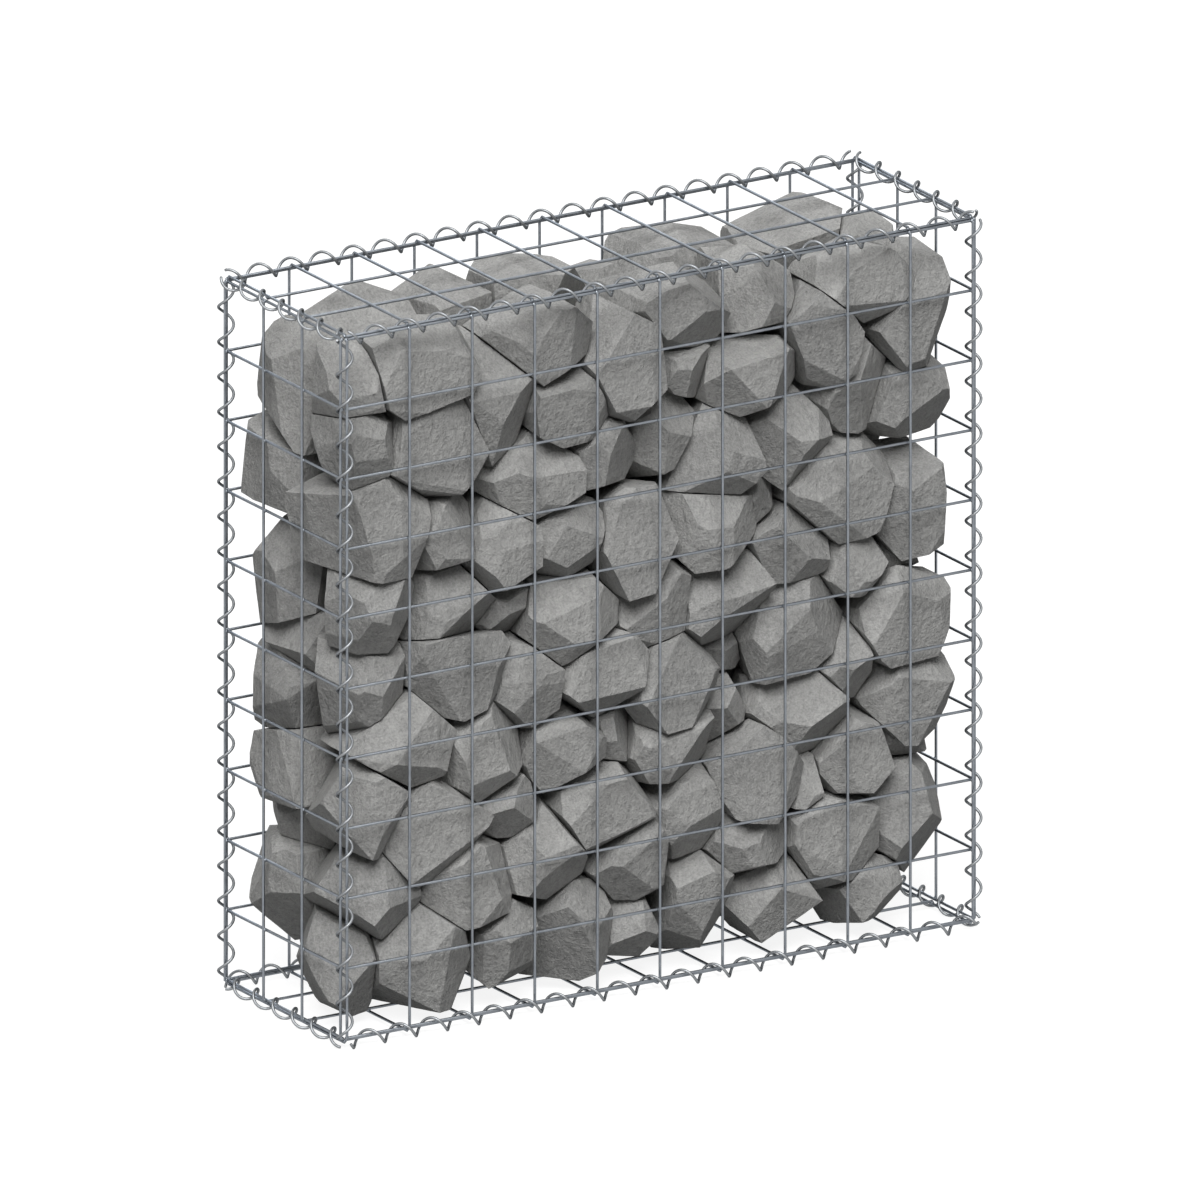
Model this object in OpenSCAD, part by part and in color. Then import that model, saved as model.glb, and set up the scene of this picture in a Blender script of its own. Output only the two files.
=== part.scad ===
// Gabion wall: a welded wire basket, laced along its edges with spirals and filled with
// broken stone. x runs along the wall, y through it from front to back, z up.

/* [Basket] */
// Mesh bays along the wall
bays_long = 10; // [5:1:16]
// Mesh bays up the wall
bays_high = 10; // [5:1:16]
// Mesh bays through the wall
bays_deep = 3; // [2:1:6]
// Spacing of the mesh wires, middle to middle
mesh_pitch = 100; // [80:1:120]
// Diameter of the mesh wires
wire_d = 4; // [3:0.1:6]
// Depth by which two wires sink into each other at a weld
weld_sink = 0.6; // [0.3:0.1:0.9]
// Free space between the edge wires of two panels
edge_gap = 0.25; // [0.1:0.05:0.5]
// Faces on the mesh wire
wire_sides = 8; // [8, 12]

/* [Spirals] */
// Diameter of the spiral wire
spiral_wire_d = 4; // [2.5:0.1:5]
// Play between the inside of a corner spiral and the wires it laces
spiral_play = 1.9; // [1.5:0.1:4]
// Turns of a spiral in each mesh bay
turns_per_bay = 2; // [1:1:3]
// Rings that make one turn of a spiral
rings_per_turn = 10; // [8:1:16]
// Faces on the spiral wire
spiral_sides = 4; // [4:1:8]

/* [Stones] */
// Mean length of a stone along its course
stone_len = 120; // [100:1:150]
// Rise from one course of stones to the next
course_rise = 95; // [80:1:120]
// Mean depth of a stone through the wall
stone_depth = 145; // [110:1:180]
// Sides hewn round a stone
stone_sides = 5; // [5:1:8]
// Faces on each side of a stone that shows
outer_faces = 3; // [1:1:4]
// Corners broken off the outer end of a stone
stone_chips = 1; // [1:1:5]
// Least part of a stone's half size left by a hewn face
hewn_least = 0.88; // [0.7:0.01:0.95]
// Greatest part of it left by a hewn face
hewn_most = 1.12; // [0.96:0.01:1.2]
// Most that a stone lies forward or back of its layer
relief = 22; // [0:1:40]
// Most that such a face turns from its side of the wall
end_tilt = 46; // [5:1:60]
// Most that a side of a stone narrows it towards its outer end
side_lean = 26; // [5:1:40]
// Number that picks the random shapes of the stones
stone_choice = 31; // [1:1:99]
// Space left at the ends of the filling
fill_end = 3; // [2:1:30]
// Space left behind the front and back panels
fill_face = 4; // [2:1:30]
// Width of the joint between two bedded stones
bed_gap = 0.4; // [0.2:0.05:0.6]
// Clearance of a piece at its seat
seat_gap = 0.3; // [0.1:0.05:0.5]

/* [Hidden] */
// Whole bays along, through and up
bays = [round(bays_long), round(bays_deep), round(bays_high)];

// Basket, measured between the grid lines of its panels
wall_l = bays.x * mesh_pitch;
wall_d = bays.y * mesh_pitch;
wall_h = bays.z * mesh_pitch;

// Inner and outer wires of a panel, out from its grid plane. The inner wires of two panels
// lie side by side along an edge.
inner_out = (wire_d + edge_gap) / sqrt(2);
outer_out = inner_out + wire_d - weld_sink;
wire_end = inner_out - wire_d / 2 - edge_gap;

// Spirals: middle radius, and the radii at the rings and half way between them
spiral_pitch = mesh_pitch / turns_per_bay;
spiral_out = outer_out / 2;
edge_reach = spiral_out * sqrt(2) + wire_d / 2;
spiral_r = edge_reach + spiral_play + spiral_wire_d / 2;
chord_ratio = cos(180 / rings_per_turn);
ring_r = spiral_r * 2 / (1 + chord_ratio);
chord_r = ring_r * chord_ratio;
seat_r = chord_r - (spiral_wire_d + wire_d) / 2 - seat_gap;

// Each spiral: name, direction, side of the basket in the two other directions, bays, and
// the angle at which it starts
spirals = [
    ["spiral_front_left_corner", "z", -1, -1, bays.z, 150],
    ["spiral_front_right_corner", "z", 1, -1, bays.z, 4],
    ["spiral_back_left_corner", "z", -1, 1, bays.z, 60],
    ["spiral_back_right_corner", "z", 1, 1, bays.z, 330],
    ["spiral_front_top_edge", "x", -1, 1, bays.x, 105],
    ["spiral_back_top_edge", "x", 1, 1, bays.x, 60],
    ["spiral_front_bottom_edge", "x", -1, -1, bays.x, 185],
    ["spiral_back_bottom_edge", "x", 1, -1, bays.x, 290],
    ["spiral_left_top_edge", "y", 1, -1, bays.y, 305],
    ["spiral_right_top_edge", "y", 1, 1, bays.y, 25],
    ["spiral_left_bottom_edge", "y", -1, -1, bays.y, 190],
    ["spiral_right_bottom_edge", "y", -1, 1, bays.y, 118]
];

// The wire that carries a spiral, out from the edge in the spiral's two cross directions
function seat_wire(axis) =
    axis == "z" ? [outer_out, 0] : axis == "x" ? [0, inner_out] : [outer_out, 0];

// Middle of a spiral, moved from the middle of the edge until it hangs on that wire
function spiral_middle(axis) =
    let (wire = seat_wire(axis), away = [spiral_out, spiral_out] - wire)
    wire + away / norm(away) * seat_r;

// A point in a spiral's own directions, turned to the basket's
function along_axis(p, axis) =
    axis == "z" ? p : axis == "x" ? [p.z, p.x, p.y] : [p.y, p.z, p.x];

// Half the basket's size in a spiral's two cross directions, and the foot of its axis
function half_cross(axis) =
    axis == "z" ? [wall_l / 2, wall_d / 2] :
    axis == "x" ? [wall_d / 2, wall_h / 2] : [wall_h / 2, wall_l / 2];
function spiral_foot(s) =
    let (half = half_cross(s[1]), out = spiral_middle(s[1]))
    [s[2] * (half.x + out.x), s[3] * (half.y + out.y), -s[4] * mesh_pitch / 2];

// Corner of the spiral wire at one ring
function spiral_corner(ring, side, start) =
    let (
        a = start + 360 * ring / rings_per_turn,
        slope = atan2(spiral_pitch, 2 * PI * spiral_r),
        b = 360 * (side + 0.5) / spiral_sides,
        radial = [cos(a), sin(a), 0],
        across = [sin(a) * sin(slope), -cos(a) * sin(slope), cos(slope)]
    )
    ring_r * radial + [0, 0, spiral_pitch * ring / rings_per_turn]
        + spiral_wire_d / 2 * (cos(b) * radial + sin(b) * across);

function spiral_rings(s) = s[4] * turns_per_bay * rings_per_turn;
function spiral_points(s) =
    let (foot = spiral_foot(s))
    [for (ring = [0 : spiral_rings(s)], side = [0 : spiral_sides - 1])
        along_axis(foot + spiral_corner(ring, side, s[5]), s[1]) + [0, 0, wall_h / 2]];

// The wall stands on the lowest turns of its bottom spirals
stand_h = -min([for (s = spirals) for (p = spiral_points(s)) p.z]);

// Space for the stones
fill_half_l = wall_l / 2 - fill_end;
fill_half_d = wall_d / 2 - fill_face;
fill_floor = wire_d / 2 - inner_out + seat_gap;
fill_top = wall_h + inner_out - wire_d / 2 - seat_gap;
layers = round(2 * fill_half_d / stone_depth);
layer_d = 2 * fill_half_d / layers;

// Courses of stones as drawn, in steps. Each stone: middle along the course, middle above the
// middle of the course, length, height, and how far it lies back from the face. A mean stone
// has this many steps along, through and up to the next course.
mean_steps = [24, 29, 19];
run_steps = 200;
first_middle = 15;
drawn_courses = [
    [[11, 0, 18, 25, 5], [32, 1, 31, 30, -1], [56, 0, 21, 23, 3], [80, 1, 26, 28, -1],
     [96, -2, 18, 20, 4], [118, 3, 20, 27, -1], [143, 0, 29, 24, 0], [172, -3, 22, 18, 3]],
    [[17, 2, 26, 24, 0], [45, 1, 28, 28, -1], [69, 4, 27, 22, 1], [97, -3, 25, 22, 0],
     [133, -2, 26, 19, 1], [161, -7, 30, 28, 0], [186, -3, 27, 32, 0]],
    [[14, 8, 23, 26, 1], [32, -1, 29, 25, -2], [57, 0, 24, 18, 5], [86, -4, 27, 24, -1],
     [115, -11, 27, 28, -1], [136, -3, 27, 25, 0], [151, -7, 16, 16, 6], [168, -4, 25, 22, 0],
     [185, -2, 20, 15, 6]],
    [[25, 7, 29, 28, 0], [49, -1, 25, 27, 1], [75, -4, 24, 22, 0], [92, -4, 17, 19, 1],
     [110, -9, 25, 20, 0], [128, -3, 18, 18, 6], [152, -8, 32, 23, -1], [166, 4, 17, 21, 4],
     [186, -7, 28, 22, 0]],
    [[16, 3, 23, 27, 0], [40, 4, 29, 24, -1], [64, -3, 27, 23, 1], [86, -4, 27, 20, 0],
     [109, -10, 25, 24, -1], [128, -7, 20, 15, 6], [150, 0, 34, 29, -1], [185, -4, 30, 28, 0]],
    [[16, 7, 23, 25, -1], [41, 5, 26, 26, -1], [58, -1, 17, 16, 6], [77, -6, 30, 26, -1],
     [104, -6, 26, 29, 0], [128, -8, 30, 29, -1], [149, 2, 28, 19, 2], [168, -6, 21, 18, 0],
     [185, -8, 18, 13, 6]],
    [[18, 12, 23, 33, 0], [36, 7, 17, 20, 0], [54, -1, 21, 24, 0], [77, -1, 22, 22, 0],
     [97, -5, 25, 27, -1], [123, -5, 25, 23, 1], [138, -1, 17, 17, 6], [163, -2, 35, 30, -1],
     [188, -10, 22, 29, 0]],
    [[32, 13, 34, 29, -1], [66, 0, 29, 21, 0], [87, 2, 26, 24, -1], [109, 3, 24, 25, 4],
     [126, -7, 26, 28, -1], [147, -3, 24, 25, 0], [169, 8, 26, 31, -1], [187, 1, 29, 25, 0]],
    [[12, -2, 18, 24, 0], [54, 4, 24, 40, 0], [76, -2, 25, 20, -1], [95, 7, 25, 28, -1],
     [116, 2, 20, 16, 5], [136, -3, 32, 20, 0], [158, 5, 20, 28, -1], [187, 6, 22, 33, 0]],
    [[11, -4, 19, 25, 4], [27, 0, 34, 23, -1], [68, 0, 36, 24, -1], [114, 0, 31, 22, 0],
     [140, -1, 22, 24, 0], [170, 0, 31, 21, -1]]
];

// One step along, through and up
step = [stone_len / mean_steps.x, stone_depth / mean_steps.y, course_rise / mean_steps.z];

// Courses and repeats that the basket has room for
first_rise = (first_middle - mean_steps.z / 2) * step.z;
courses = round((fill_top - fill_floor - first_rise) / course_rise);
repeats = ceil(wall_l / (run_steps * step.x));

// Share of a stone's half size that has to fit inside the filling
least_share = 0.3;

// Seeds set aside for a course, a repeat, a stone and a layer
seed_steps = [2000, 400, 20, 10];

// Each stone: course, middle, half sizes, seed, and the side to which its outer end looks
stones = [
    for (layer = [0 : layers - 1], course = [0 : courses - 1], repeat = [0 : repeats - 1])
        let (row = drawn_courses[course % len(drawn_courses)], turn = layer % 2 == 0 ? 1 : -1)
        for (i = [0 : len(row) - 1])
            let (
                d = row[i],
                seed = stone_choice + [course, repeat, i, layer] * seed_steps,
                x = (d[0] + repeat * run_steps) * step.x - wall_l / 2,
                back = d[4] * step.y + rands(-relief, relief, 1, seed + 2)[0],
                y = (layer + 0.5) * layer_d - fill_half_d + turn * back,
                z = fill_floor + (first_middle + d[1]) * step.z + course * course_rise,
                half = [d[2] * step.x, stone_depth, d[3] * step.z] / 2
            )
            if (x + least_share * half.x < fill_half_l && z + least_share * half.z < fill_top)
                [course, [turn * x, y, z], half, seed, -turn]
];

// How far a stone reaches from its middle in a direction
function reach(half, way) = norm([half.x * way.x, half.y * way.y, half.z * way.z]);

function between(low, high, share) = low + (high - low) * share;

// Direction at an angle round the face of the wall, leaning out from it
function way_out(angle, lean) = [cos(lean) * cos(angle), sin(lean), cos(lean) * sin(angle)];

// Three random numbers for each of a stone's faces
function triples(seed, count) =
    let (r = rands(0, 1, 3 * count, seed))
    [for (i = [0 : count - 1]) [r[3 * i], r[3 * i + 1], r[3 * i + 2]]];

// Shares of their even spacing by which outer faces and sides swing round
outer_swing = 0.6;
side_swing = 0.7;

// Least share of end_tilt on an outer face, and most that a side widens the stone outwards
least_tilt = 0.3;
side_tuck = 8;

// How blunt the point is in which the outer faces meet
point_share = 0.3;

// Least and most lean of a broken corner, and its share of the stone's reach
chip_lean = [30, 65];
chip_share = [0.92, 1.12];

// One hewn face as a direction and a share of the stone's reach: on a side that shows, on the
// inner end, round the sides, or a corner broken off the outer end
function outer_face(i, r) =
    let (tilt = end_tilt * between(least_tilt, 1, r[1]))
    [way_out(360 * (i + outer_swing * r[0]) / outer_faces, 90 - tilt),
        between(hewn_least, hewn_most, r[2]) * between(cos(tilt), 1, point_share)];
function inner_face(r) =
    [way_out(360 * r[0], -90 + end_tilt * r[1]), between(hewn_least, hewn_most, r[2])];
function side_face(i, sides, r) =
    [way_out(360 * (i + side_swing * r[0]) / sides, between(-side_tuck, side_lean, r[1])),
        between(hewn_least, hewn_most, r[2])];
function chip_face(i, r) =
    [way_out(360 * (i + r[0]) / stone_chips, between(chip_lean[0], chip_lean[1], r[1])),
        between(chip_share[0], chip_share[1], r[2])];

// Corners of a hewn stone reach further out than its faces by about this much
corner_reach = 1.5;

// Sides on which a stone shows, each an axis and a direction along it: the face of the wall
// that it looks to, and an end or the top where it lies there
function open_sides(stone) = concat(
    [[1, stone[4]]],
    [for (side = [-1, 1]) if (fill_half_l - side * stone[1].x < corner_reach * stone[2].x) [0, side]],
    [if (fill_top - stone[1].z < corner_reach * stone[2].z) [2, 1]]
);

// A direction turned round the stone and to one of its sides
function turned(way, turn, side) =
    let (a = way.x * cos(turn) - way.z * sin(turn), b = way.x * sin(turn) + way.z * cos(turn))
    side[0] == 0 ? [side[1] * way.y, a, b] :
    side[0] == 1 ? [a, side[1] * way.y, b] : [a, b, side[1] * way.y];

// Faces of a stone, each a direction and a distance from its middle: first the hewn ones,
// with one side more or less on some stones
function hewn(stone) =
    let (
        shown = open_sides(stone),
        own = rands(0, 1, 2, stone[3]),
        sides = stone_sides + floor(3 * own[0]) - 1,
        count = 1 + sides + stone_chips,
        r = triples(stone[3] + 1, count + outer_faces * len(shown)),
        faces = concat(
            [[inner_face(r[0]), shown[0]]],
            [for (i = [0 : sides - 1]) [side_face(i, sides, r[1 + i]), shown[0]]],
            [for (i = [0 : stone_chips - 1]) [chip_face(i, r[1 + sides + i]), shown[0]]],
            [for (k = [0 : len(shown) - 1], i = [0 : outer_faces - 1])
                [outer_face(i, r[count + k * outer_faces + i]), shown[k]]]
        )
    )
    [for (face = faces)
        let (way = turned(face[0][0], 360 * own[1], face[1]))
        [way, face[0][1] * reach(stone[2], way)]];

// Faces bedded against the neighbouring stones
function bedded(stone) = [
    for (other = stones)
        let (offset = other[1] - stone[1], apart = norm(offset))
        if (apart > 0)
            let (way = offset / apart, own = reach(stone[2], way), theirs = reach(other[2], way))
            if (apart < corner_reach * (own + theirs))
                [way, apart * own / (own + theirs) - bed_gap / 2]
];

// Steepest slope of a stone's face at the limits of the filling
limit_slope = 0.1;

// Faces where a stone meets those limits. All but the floor slant inside the limit, each in
// its own way.
function bounded(stone) =
    let (low = [-fill_half_l, -fill_half_d, fill_floor], high = [fill_half_l, fill_half_d, fill_top])
    [for (axis = [0 : 2], side = [-1, 1])
        let (distance = side < 0 ? stone[1][axis] - low[axis] : high[axis] - stone[1][axis])
        if (distance < corner_reach * stone[2][axis])
            let (
                most = axis == 2 && side < 0 ? 0 : limit_slope,
                slopes = rands(-most, most, 3, stone[3] + 3 + axis),
                way = [for (i = [0 : 2]) i == axis ? side : slopes[i]],
                back = [for (i = [0 : 2]) i == axis ? 0 : abs(slopes[i])] * stone[2]
            )
            [way / norm(way), (distance - back) / norm(way)]];

// Size of the block from which a stone is cut
block = 2 * max(stone_len, course_rise, stone_depth);

// Everything up to a distance along a direction
module up_to(face) {
    rotate([0, acos(face[0].z), atan2(face[0].y, face[0].x)])
        translate([-block, -block, face[1] - 2 * block])
            cube(2 * block);
}

module stone_body(stone) {
    translate(stone[1])
        intersection_for (face = concat(hewn(stone), bedded(stone), bounded(stone)))
            up_to(face);
}

// A round bar of few sides with a flat to each of its crossing wires
module wire(length) {
    rotate([0, 0, 180 / wire_sides])
        cylinder(h = length, d = wire_d / cos(180 / wire_sides), center = true, $fn = wire_sides);
}

// One panel, facing up: inner wires along x, outer wires along y
module panel(bays_x, bays_y) {
    size_x = bays_x * mesh_pitch;
    size_y = bays_y * mesh_pitch;
    for (i = [0 : bays_y])
        translate([0, i * mesh_pitch - size_y / 2, inner_out])
            rotate([0, 90, 0])
                wire(size_x + 2 * wire_end);
    for (i = [0 : bays_x])
        translate([i * mesh_pitch - size_x / 2, 0, outer_out])
            rotate([90, 0, 0])
                wire(size_y + 2 * wire_end);
}

module galvanised() {
    color([0.62, 0.65, 0.68])
        translate([0, 0, stand_h])
            children();
}

module front_mesh() {
    galvanised() translate([0, -wall_d / 2, wall_h / 2]) rotate([90, 0, 0]) panel(bays.x, bays.z);
}

module back_mesh() {
    galvanised() translate([0, wall_d / 2, wall_h / 2]) rotate([-90, 0, 0]) panel(bays.x, bays.z);
}

module left_end_mesh() {
    galvanised() translate([-wall_l / 2, 0, wall_h / 2]) rotate([90, 0, -90]) panel(bays.y, bays.z);
}

module right_end_mesh() {
    galvanised() translate([wall_l / 2, 0, wall_h / 2]) rotate([90, 0, 90]) panel(bays.y, bays.z);
}

module base_mesh() {
    galvanised() rotate([180, 0, 0]) panel(bays.x, bays.y);
}

module lid_mesh() {
    galvanised() translate([0, 0, wall_h]) panel(bays.x, bays.y);
}

// One spiral as a closed tube of few faces
module spiral(s) {
    n = spiral_sides;
    last = spiral_rings(s);
    walls = [for (ring = [0 : last - 1], side = [0 : n - 1])
        let (a = ring * n + side, b = ring * n + (side + 1) % n)
        each [[a, a + n, b + n], [a, b + n, b]]];
    ends = [[for (side = [0 : n - 1]) side], [for (side = [n - 1 : -1 : 0]) last * n + side]];
    galvanised() polyhedron(spiral_points(s), concat(walls, ends), convexity = 10);
}

// One course, front to back, as separate stones
module stone_course(course) {
    color([0.60, 0.60, 0.59])
        translate([0, 0, stand_h])
            for (stone = stones)
                if (stone[0] == course) stone_body(stone);
}

function course_name(course) = str("stone_course_", course + 1);

front_mesh();
back_mesh();
left_end_mesh();
right_end_mesh();
base_mesh();
lid_mesh();
for (s = spirals) spiral(s);
for (course = [0 : courses - 1]) stone_course(course);
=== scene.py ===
import math
import random

import bmesh
import bpy
from mathutils import Matrix, Vector, noise


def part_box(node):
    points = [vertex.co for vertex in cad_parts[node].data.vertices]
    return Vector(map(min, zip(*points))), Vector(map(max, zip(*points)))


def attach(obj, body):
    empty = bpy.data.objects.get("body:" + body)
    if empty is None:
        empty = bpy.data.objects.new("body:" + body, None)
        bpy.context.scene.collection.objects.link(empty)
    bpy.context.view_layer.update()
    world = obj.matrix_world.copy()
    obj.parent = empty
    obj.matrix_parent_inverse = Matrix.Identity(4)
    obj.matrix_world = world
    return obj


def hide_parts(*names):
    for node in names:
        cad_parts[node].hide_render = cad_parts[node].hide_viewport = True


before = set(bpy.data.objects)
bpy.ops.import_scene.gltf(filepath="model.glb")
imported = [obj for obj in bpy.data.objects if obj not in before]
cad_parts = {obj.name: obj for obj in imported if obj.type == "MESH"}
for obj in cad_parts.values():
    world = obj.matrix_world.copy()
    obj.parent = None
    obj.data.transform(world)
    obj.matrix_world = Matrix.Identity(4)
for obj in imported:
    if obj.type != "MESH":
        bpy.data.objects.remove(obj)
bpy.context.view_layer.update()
scene = bpy.context.scene
scene.view_settings.view_transform = "Standard"
print("frame:", len(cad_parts), "nodes")


# shared by the makers below

def addPiece(name, bm, material, nodeName):
    mesh = bpy.data.meshes.new(name)
    bm.to_mesh(mesh)
    bm.free()
    mesh.materials.append(material)
    piece = bpy.data.objects.new(name, mesh)
    scene.collection.objects.link(piece)
    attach(piece, "root")
    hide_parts(nodeName)
    return piece


def smoothFaces(bm):
    for face in bm.faces:
        face.smooth = True


def newMaterial(name):
    material = bpy.data.materials.new(name)
    material.use_nodes = True
    nodes = material.node_tree.nodes
    return material, nodes, material.node_tree.links, nodes["Principled BSDF"]


noiseSpan = (0.3, 0.7)  # where nearly all of a noise's values lie


def addNoise(nodes, links, vector, scale, detail, roughness):
    tex = nodes.new("ShaderNodeTexNoise")
    tex.inputs["Scale"].default_value = scale
    tex.inputs["Detail"].default_value = detail
    tex.inputs["Roughness"].default_value = roughness
    links.new(vector, tex.inputs["Vector"])
    return tex.outputs["Fac"]


def addRange(nodes, links, value, fromSpan, toSpan):
    node = nodes.new("ShaderNodeMapRange")
    for socketName, number in zip(("From Min", "From Max", "To Min", "To Max"), (*fromSpan, *toSpan)):
        node.inputs[socketName].default_value = number
    links.new(value, node.inputs["Value"])
    return node.outputs["Result"]


def addMath(nodes, links, operation, first, second):
    node = nodes.new("ShaderNodeMath")
    node.operation = operation
    for k, value in enumerate((first, second)):
        if isinstance(value, (int, float)):
            node.inputs[k].default_value = value
        else:
            links.new(value, node.inputs[k])
    return node.outputs["Value"]


def addMix(nodes, links, factor, dark, light):
    node = nodes.new("ShaderNodeMix")
    node.data_type = "RGBA"
    links.new(factor, node.inputs["Factor"])
    node.inputs["A"].default_value = (*dark, 1.0)
    node.inputs["B"].default_value = (*light, 1.0)
    return node.outputs["Result"]


def addBump(nodes, links, height, distance, normal=None):
    node = nodes.new("ShaderNodeBump")
    node.inputs["Strength"].default_value = 1.0
    node.inputs["Distance"].default_value = distance
    links.new(height, node.inputs["Height"])
    if normal:
        links.new(normal, node.inputs["Normal"])
    return node.outputs["Normal"]


# broken grey stone: each stone has a tone of its own, with clouded patches, slanted streaks, pits and grain

stoneLook = {
    "light": (0.405, 0.402, 0.391), "dark": (0.205, 0.205, 0.201), "meanShade": 0.5,
    "roughness": (0.8, 0.96), "roughOver": (-0.3, 0.3),  # roughness over this span of shades
    "specular": 0.2,
    "streakTurn": (0.6, 0.5, 0.3), "streakStretch": (1.0, 1.0, 0.42),
    # name: scale, detail, roughness, share of the colour, depth of the relief
    "noises": {
        "patch": (18.0, 3.0, 0.55, 0.18, 0.0),
        "streak": (150.0, 3.0, 0.6, 0.36, 0.0021),
        "pit": (85.0, 4.0, 0.6, 0.16, 0.0027),
        "grain": (340.0, 2.0, 0.6, 0.46, 0.0006),
    },
}


def makeStoneMaterial():
    look = stoneLook
    material, nodes, links, shader = newMaterial("brokenStone")
    where = nodes.new("ShaderNodeTexCoord").outputs["Object"]
    turn = nodes.new("ShaderNodeMapping")
    turn.inputs["Rotation"].default_value = look["streakTurn"]
    turn.inputs["Scale"].default_value = look["streakStretch"]
    links.new(where, turn.inputs["Vector"])
    tone = nodes.new("ShaderNodeAttribute")
    tone.attribute_name = "stoneTone"
    shade, normal = tone.outputs["Fac"], None
    for name, (scale, detail, roughness, share, depth) in look["noises"].items():
        vector = turn.outputs["Vector"] if name == "streak" else where
        value = addNoise(nodes, links, vector, scale, detail, roughness)
        part = addRange(nodes, links, value, noiseSpan, (-share / 2, share / 2))
        shade = addMath(nodes, links, "ADD", shade, part)
        if depth:
            normal = addBump(nodes, links, value, depth, normal)
    factor = addMath(nodes, links, "ADD", shade, look["meanShade"])
    links.new(addMix(nodes, links, factor, look["dark"], look["light"]), shader.inputs["Base Color"])
    links.new(addRange(nodes, links, shade, look["roughOver"], look["roughness"]), shader.inputs["Roughness"])
    shader.inputs["Specular IOR Level"].default_value = look["specular"]
    links.new(normal, shader.inputs["Normal"])
    return material


# zinc on the wires: cloudy spangle in colour and gloss, dark towards the rims

zincLook = {
    # scale, detail, roughness, share of the colour
    "cloud": (60.0, 4.0, 0.55, 0.6), "spangle": (420.0, 2.0, 0.55, 0.4),
    "shadeSpan": (0.35, 0.65),  # mixed noise that runs from the dark zinc to the light
    "mesh": {
        "light": (0.27, 0.29, 0.315), "dark": (0.19, 0.205, 0.225), "rim": (0.3, 0.32, 0.35),
        "roughness": (0.3, 0.45), "relief": 0.0001,
    },
    "spiral": {
        "light": (0.27, 0.28, 0.29), "dark": (0.21, 0.22, 0.23), "rim": (0.05, 0.055, 0.06),
        "roughness": (0.46, 0.54), "relief": 0.00002,
    },
}


def makeZincMaterial(name, finish):
    material, nodes, links, shader = newMaterial(name)
    where = nodes.new("ShaderNodeTexCoord").outputs["Object"]
    *cloudForm, cloudShare = zincLook["cloud"]
    *spangleForm, spangleShare = zincLook["spangle"]
    cloud = addNoise(nodes, links, where, *cloudForm)
    spangle = addNoise(nodes, links, where, *spangleForm)
    shade = addMath(nodes, links, "ADD", addMath(nodes, links, "MULTIPLY", cloud, cloudShare),
                    addMath(nodes, links, "MULTIPLY", spangle, spangleShare))
    factor = addRange(nodes, links, shade, zincLook["shadeSpan"], (0.0, 1.0))
    links.new(addMix(nodes, links, factor, finish["dark"], finish["light"]), shader.inputs["Base Color"])
    links.new(addRange(nodes, links, spangle, noiseSpan, finish["roughness"]), shader.inputs["Roughness"])
    shader.inputs["Metallic"].default_value = 1.0
    shader.inputs["Specular Tint"].default_value = (*finish["rim"], 1.0)
    links.new(addBump(nodes, links, spangle, finish["relief"]), shader.inputs["Normal"])
    return material


stoneMaterial = makeStoneMaterial()
meshZinc = makeZincMaterial("meshZinc", zincLook["mesh"])
spiralZinc = makeZincMaterial("spiralZinc", zincLook["spiral"])
print("materials made")


# the six welded panels: inner wires one way, outer wires across them, a weld at each crossing

panelMesh = {
    "pitch": 0.1, "wire": 0.004, "sides": 16,
    "endPast": 0.000755, "endRound": 0.0006, "endSteps": 2,  # a wire's end, past the last crossing
    "weldReach": 0.0031, "weldThick": 0.0022, "weldSides": 8, "weldRings": 5,
    # node: run of the inner wires, run of the outer wires, axis through the panel, outward side
    "panels": {
        "front_mesh": (0, 2, 1, -1), "back_mesh": (0, 2, 1, 1),
        "left_end_mesh": (1, 2, 0, -1), "right_end_mesh": (1, 2, 0, 1),
        "base_mesh": (0, 1, 2, -1), "lid_mesh": (0, 1, 2, 1),
    },
}

# turns an upright wire to its run
runTurn = {
    0: Matrix.Rotation(math.pi / 2, 4, "Y"),
    1: Matrix.Rotation(math.pi / 2, 4, "X"),
    2: Matrix.Identity(4),
}


def addWire(bm, middle, run, length):
    half = panelMesh["wire"] / 2
    made = bmesh.ops.create_cone(bm, cap_ends=True, segments=panelMesh["sides"], radius1=half, radius2=half,
                                 depth=length, matrix=Matrix.Translation(middle) @ runTurn[run])
    rims = {e for v in made["verts"] for e in v.link_edges if e.calc_length() < length / 2}
    bmesh.ops.bevel(bm, geom=list(rims), offset=panelMesh["endRound"], segments=panelMesh["endSteps"],
                    profile=0.5, affect="EDGES", material=-1)


def addWeld(bm, middle, through):
    scale = [panelMesh["weldReach"]] * 3
    scale[through] = panelMesh["weldThick"]
    bmesh.ops.create_uvsphere(bm, u_segments=panelMesh["weldSides"], v_segments=panelMesh["weldRings"],
                              radius=1.0, matrix=Matrix.Translation(middle) @ Matrix.Diagonal((*scale, 1.0)))


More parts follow.
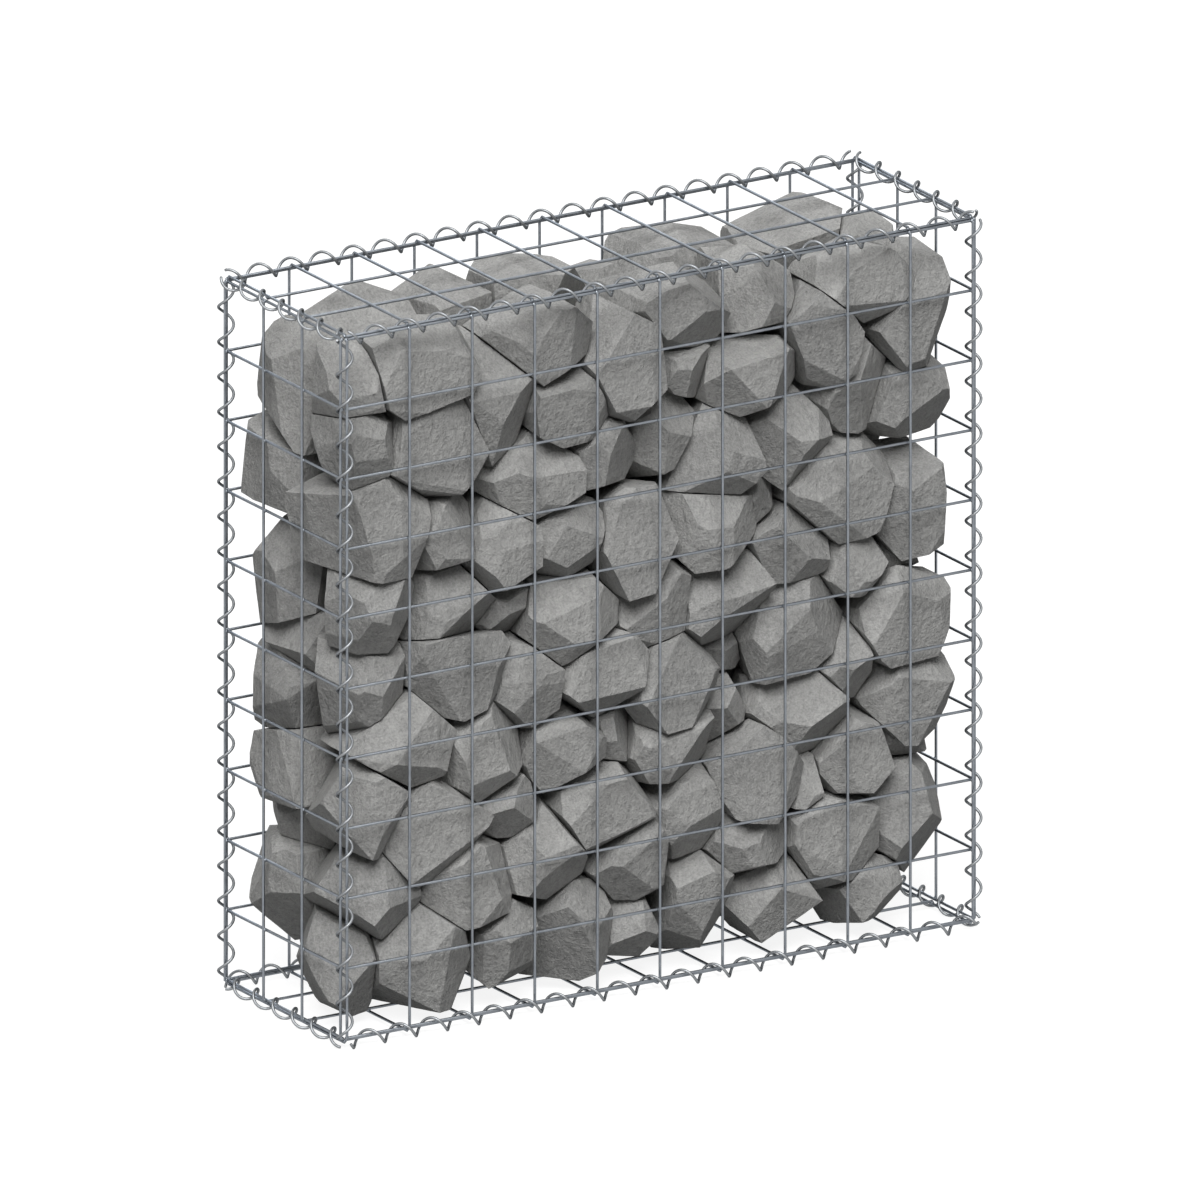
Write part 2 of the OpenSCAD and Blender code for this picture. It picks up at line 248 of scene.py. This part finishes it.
def makePanel(nodeName, innerRun, outerRun, through, out):
    low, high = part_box(nodeName)
    pitch, half = panelMesh["pitch"], panelMesh["wire"] / 2
    inner = (low if out > 0 else high)[through] + out * half
    outer = (high if out > 0 else low)[through] - out * half
    start = {run: low[run] + half for run in (innerRun, outerRun)}
    span = {run: high[run] - low[run] - 2 * half for run in (innerRun, outerRun)}
    lines = {run: [start[run] + k * pitch for k in range(round(span[run] / pitch) + 1)]
             for run in (innerRun, outerRun)}
    bm = bmesh.new()
    for run, cross, depth in ((innerRun, outerRun, inner), (outerRun, innerRun, outer)):
        for line in lines[cross]:
            middle = Vector((0, 0, 0))
            middle[run] = start[run] + span[run] / 2
            middle[cross] = line
            middle[through] = depth
            addWire(bm, middle, run, span[run] + 2 * panelMesh["endPast"])
    for a in lines[innerRun]:
        for b in lines[outerRun]:
            middle = Vector((0, 0, 0))
            middle[innerRun], middle[outerRun], middle[through] = a, b, (inner + outer) / 2
            addWeld(bm, middle, through)
    smoothFaces(bm)
    addPiece(nodeName + "_wires", bm, meshZinc, nodeName)


for nodeName, layout in panelMesh["panels"].items():
    makePanel(nodeName, *layout)
print("panels made")


# the lacing spirals: a wire's section screwed round each edge, right-handed, from its low end

lacing = {
    "radius": 0.01043, "wire": 0.004, "pitch": 0.05, "turnSteps": 24, "sides": 12,
    "endRound": 0.0007, "endSteps": 2,
    # node: axis it runs along, angle at which it starts
    "spirals": {
        "spiral_front_left_corner": (2, 150), "spiral_front_right_corner": (2, 4),
        "spiral_back_left_corner": (2, 60), "spiral_back_right_corner": (2, 330),
        "spiral_front_top_edge": (0, 105), "spiral_back_top_edge": (0, 60),
        "spiral_front_bottom_edge": (0, 185), "spiral_back_bottom_edge": (0, 290),
        "spiral_left_top_edge": (1, 305), "spiral_right_top_edge": (1, 25),
        "spiral_left_bottom_edge": (1, 190), "spiral_right_bottom_edge": (1, 118),
    },
}


def wireSection(startAngle):
    angle = math.radians(startAngle)
    slope = math.atan2(lacing["pitch"], 2 * math.pi * lacing["radius"])
    radial = Vector((math.cos(angle), math.sin(angle), 0))
    across = Vector((math.sin(angle) * math.sin(slope), -math.cos(angle) * math.sin(slope),
                     math.cos(slope)))
    section = Matrix((radial, across, radial.cross(across))).transposed().to_4x4()
    section.translation = radial * lacing["radius"]
    return section


def makeSpiral(nodeName, axis, startAngle):
    low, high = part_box(nodeName)
    turns = round((high - low)[axis] / lacing["pitch"])
    bm = bmesh.new()
    ring = bmesh.ops.create_circle(bm, segments=lacing["sides"], radius=lacing["wire"] / 2,
                                   matrix=wireSection(startAngle))
    bmesh.ops.spin(bm, geom=ring["verts"] + bm.edges[:], cent=(0, 0, 0), axis=(0, 0, 1),
                   dvec=(0, 0, lacing["pitch"] / lacing["turnSteps"]), angle=turns * 2 * math.pi,
                   steps=turns * lacing["turnSteps"])
    smoothFaces(bm)
    ends = bmesh.ops.holes_fill(bm, edges=[e for e in bm.edges if e.is_boundary], sides=0)["faces"]
    rims = list({e for face in ends for e in face.edges})
    bmesh.ops.bevel(bm, geom=rims, offset=lacing["endRound"], segments=lacing["endSteps"], profile=0.5,
                    affect="EDGES", material=-1)
    bmesh.ops.recalc_face_normals(bm, faces=bm.faces[:])
    # local x and y go to the two cross axes, local z to the axis that the spiral runs along
    place = Matrix.Diagonal((0, 0, 0, 1))
    place[(axis + 1) % 3][0] = place[(axis + 2) % 3][1] = place[axis][2] = 1.0
    foot = (low + high) / 2
    foot[axis] -= turns * lacing["pitch"] / 2
    place.translation = foot
    bmesh.ops.transform(bm, matrix=place, verts=bm.verts[:])
    addPiece(nodeName + "_wire", bm, spiralZinc, nodeName)


for nodeName, (axis, startAngle) in lacing["spirals"].items():
    makeSpiral(nodeName, axis, startAngle)
print("spirals made")


# the stones: each one worked up from its plain solid, with worn edges, chips and a rough split face

stoneWork = {
    "weldWithin": 0.00001, "mergeWithin": 0.006, "flatWithin": 4.0,  # corners to join, degrees to flatten
    "edgeWear": 0.0009, "wearSteps": 2, "cutStep": 0.0095, "cutSnap": 0.0002,
    # name: size, depth, fall-off, octaves
    "relief": {"lump": (0.045, 0.0009, 1.0, 2), "rough": (0.013, 0.0005, 0.9, 3)}, "lacunarity": 2.0,
    "chipSize": 0.02, "chipDepth": 0.0016, "chipBite": 6.0,  # bite: how sharp an edge has to be
    "toneSpread": 0.24, "noiseReach": 50.0, "facetWeight": 60, "seed": 7,
}


def splitStones(mesh):
    bm = bmesh.new()
    bm.from_mesh(mesh)
    bmesh.ops.remove_doubles(bm, verts=bm.verts[:], dist=stoneWork["weldWithin"])
    seen, stones = set(), []
    for first in bm.verts:
        if first in seen:
            continue
        seen.add(first)
        queue, corners = [first], []
        while queue:
            v = queue.pop()
            corners.append(v.co.copy())
            for e in v.link_edges:
                other = e.other_vert(v)
                if other not in seen:
                    seen.add(other)
                    queue.append(other)
        stones.append(corners)
    bm.free()
    return stones


# plane cuts in three directions give the faces enough points to roughen
def refineStone(bm):
    for axis in range(3):
        across = Vector((0, 0, 0))
        across[axis] = 1.0
        low = min(v.co[axis] for v in bm.verts)
        span = max(v.co[axis] for v in bm.verts) - low
        cuts = int(span / stoneWork["cutStep"])
        for k in range(cuts):
            bmesh.ops.bisect_plane(bm, geom=bm.verts[:] + bm.edges[:] + bm.faces[:],
                                   dist=stoneWork["cutSnap"], plane_no=across,
                                   plane_co=across * (low + span * (k + 0.5) / cuts))
    bmesh.ops.triangulate(bm, faces=bm.faces[:])


# points only move inwards, so a stone stays inside its solid
def roughenStone(bm, shift):
    bm.normal_update()
    moves = []
    for v in bm.verts:
        move = 0.0
        for size, depth, fallOff, octaves in stoneWork["relief"].values():
            height = noise.fractal(v.co / size + shift, fallOff, stoneWork["lacunarity"], octaves)
            move += (0.5 + 0.5 * height) * depth
        sharp = 1 - min(f.normal.dot(v.normal) for f in v.link_faces)
        chip = max(0.0, noise.noise(v.co / stoneWork["chipSize"] - shift))
        moves.append(move + chip * min(1.0, sharp * stoneWork["chipBite"]) * stoneWork["chipDepth"])
    for v, move in zip(bm.verts, moves):
        v.co -= v.normal * move


def makeStone(corners, shift):
    bm = bmesh.new()
    for corner in corners:
        bm.verts.new(corner)
    bmesh.ops.remove_doubles(bm, verts=bm.verts[:], dist=stoneWork["mergeWithin"])
    bmesh.ops.convex_hull(bm, input=bm.verts[:])
    bmesh.ops.delete(bm, geom=[v for v in bm.verts if not v.link_faces], context="VERTS")
    bmesh.ops.dissolve_limit(bm, angle_limit=math.radians(stoneWork["flatWithin"]), verts=bm.verts[:],
                             edges=bm.edges[:])
    bmesh.ops.bevel(bm, geom=bm.edges[:], offset=stoneWork["edgeWear"], segments=stoneWork["wearSteps"],
                    profile=0.5, affect="EDGES", clamp_overlap=True, material=-1)
    bmesh.ops.recalc_face_normals(bm, faces=bm.faces[:])
    refineStone(bm)
    roughenStone(bm, shift)
    return bm


def makeCourse(nodeName, rng):
    course = bmesh.new()
    tone = course.verts.layers.float.new("stoneTone")
    reach, spread = stoneWork["noiseReach"], stoneWork["toneSpread"]
    for corners in splitStones(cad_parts[nodeName].data):
        shift = Vector([rng.uniform(-reach, reach) for _ in range(3)])
        stone = makeStone(corners, shift)
        spare = bpy.data.meshes.new("spare")
        stone.to_mesh(spare)
        stone.free()
        before = len(course.verts)
        course.from_mesh(spare)
        bpy.data.meshes.remove(spare)
        own = rng.uniform(-spread, spread) / 2
        course.verts.ensure_lookup_table()
        for v in course.verts[before:]:
            v[tone] = own
    smoothFaces(course)
    piece = addPiece(nodeName + "_stones", course, stoneMaterial, nodeName)
    facets = piece.modifiers.new("flatFacets", "WEIGHTED_NORMAL")  # keeps split faces flat up to their edges
    facets.mode = "FACE_AREA"
    facets.weight = stoneWork["facetWeight"]
    return piece


rng = random.Random(stoneWork["seed"])
for nodeName in sorted(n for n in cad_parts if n.startswith("stone_course")):
    piece = makeCourse(nodeName, rng)
    print(piece.name, len(piece.data.polygons), "faces")


# pale floor that shows white to the camera and keeps the soft shadow

floorLook = {"size": 40.0, "colour": (0.2, 0.2, 0.2), "glow": 0.88}


def seenDirectly(nodes, links):
    path = nodes.new("ShaderNodeLightPath")
    seen = addMath(nodes, links, "MAXIMUM", path.outputs["Is Camera Ray"], path.outputs["Is Glossy Ray"])
    return addMath(nodes, links, "MAXIMUM", seen, path.outputs["Is Transmission Ray"])


def makeFloor():
    bm = bmesh.new()
    bmesh.ops.create_grid(bm, x_segments=1, y_segments=1, size=floorLook["size"] / 2)
    mesh = bpy.data.meshes.new("floor")
    bm.to_mesh(mesh)
    bm.free()
    floor = bpy.data.objects.new("floor", mesh)
    scene.collection.objects.link(floor)
    material, nodes, links, shader = newMaterial("paleFloor")
    shader.inputs["Base Color"].default_value = (*floorLook["colour"], 1.0)
    shader.inputs["Roughness"].default_value = 1.0
    shader.inputs["Specular IOR Level"].default_value = 0.0
    shader.inputs["Emission Color"].default_value = (1.0, 1.0, 1.0, 1.0)
    glow = addMath(nodes, links, "MULTIPLY", seenDirectly(nodes, links), floorLook["glow"])
    links.new(glow, shader.inputs["Emission Strength"])
    mesh.materials.append(material)


makeFloor()


# one broad, far light from the front left and above, a weaker one from behind, and an even sky

lightSetup = {
    "sky": 0.1,
    # name: where it comes from, strength, spread in degrees
    "lamps": {
        "keyLight": ((-2.3, -3.5, 5.3), 4.0, 40.0),
        "backLight": ((1.4, 4.0, 1.7), 1.7, 40.0),
    },
}


def makeLights():
    for name, (comesFrom, strength, spread) in lightSetup["lamps"].items():
        lamp = bpy.data.lights.new(name, "SUN")
        lamp.energy = strength
        lamp.angle = math.radians(spread)
        holder = bpy.data.objects.new(name, lamp)
        holder.rotation_euler = Vector(comesFrom).to_track_quat("Z", "Y").to_euler()
        scene.collection.objects.link(holder)
    world = bpy.data.worlds.new("sky")
    scene.world = world
    world.use_nodes = True
    nodes, links = world.node_tree.nodes, world.node_tree.links
    back = nodes["Background"]
    back.inputs["Color"].default_value = (1.0, 1.0, 1.0, 1.0)
    strength = addRange(nodes, links, seenDirectly(nodes, links), (0.0, 1.0), (lightSetup["sky"], 1.0))
    links.new(strength, back.inputs["Strength"])


makeLights()


# parallel view from the front left and a little above

viewSetup = {
    "azimuth": -31.59, "elevation": 18.06, "width": 1.633, "away": 6.0,
    "aim": (0.0004, 0.0, 0.4996),  # above the middle of the lowest mesh wires
}


def makeCamera():
    azimuth, elevation = math.radians(viewSetup["azimuth"]), math.radians(viewSetup["elevation"])
    back = Vector((math.sin(azimuth) * math.cos(elevation), -math.cos(azimuth) * math.cos(elevation),
                   math.sin(elevation)))
    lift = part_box("front_mesh")[0].z + panelMesh["wire"] / 2
    camera = bpy.data.cameras.new("camera")
    camera.type = "ORTHO"
    camera.ortho_scale = viewSetup["width"]
    holder = bpy.data.objects.new("camera", camera)
    holder.location = Vector(viewSetup["aim"]) + Vector((0, 0, lift)) + back * viewSetup["away"]
    holder.rotation_euler = back.to_track_quat("Z", "Y").to_euler()
    scene.collection.objects.link(holder)
    scene.camera = holder


makeCamera()
print("stage, lights and camera made")
